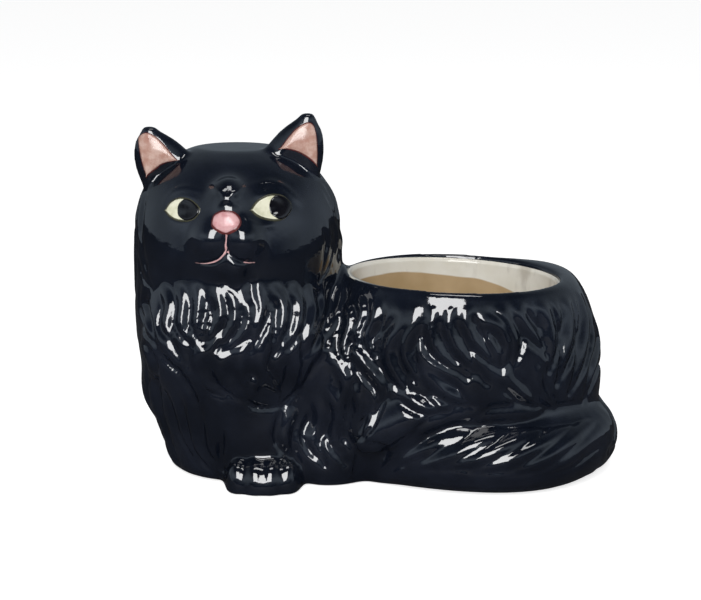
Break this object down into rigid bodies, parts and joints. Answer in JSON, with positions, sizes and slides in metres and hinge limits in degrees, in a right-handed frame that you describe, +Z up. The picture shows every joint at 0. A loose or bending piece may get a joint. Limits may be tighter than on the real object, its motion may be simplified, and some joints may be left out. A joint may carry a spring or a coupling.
{
  "type": "animal shaped planter",
  "caption": "Glazed ceramic planter in the shape of a long-haired cat lying down, with an open oval planting well in its back.",
  "frame": {"origin": "on the table, under the middle of the whole planter's outline", "axes": "+X from the cat's chest to its rump, -Y towards the side that the face looks to, +Z up"},
  "size_m": [0.2788, 0.1377, 0.206],
  "materials": {
    "black_glaze": "dark blue-black gloss glaze",
    "cream_glaze": "clear gloss glaze over cream slip",
    "pink_glaze": "hand-painted mottled pink under clear glaze",
    "nose_glaze": "hand-painted pink under clear glaze",
    "eye_glaze": "hand-painted pale yellow under clear glaze",
    "pupil_glaze": "black gloss glaze",
    "bare_bisque": "unglazed, wiped clean for the kiln shelf"
  },
  "bodies": {
    "root": {"torso_shell": "black_glaze", "well_cup": "cream_glaze", "base_slab": "bare_bisque", "head_shell": "black_glaze", "nose": "nose_glaze", "right_ear": "black_glaze", "left_ear": "black_glaze", "right_ear_lining": "pink_glaze", "left_ear_lining": "pink_glaze", "right_eye": "eye_glaze", "left_eye": "eye_glaze", "right_pupil": "pupil_glaze", "left_pupil": "pupil_glaze", "tail": "black_glaze", "left_forepaw": "black_glaze", "left_hindfoot": "black_glaze"}
  },
  "joints": []
}
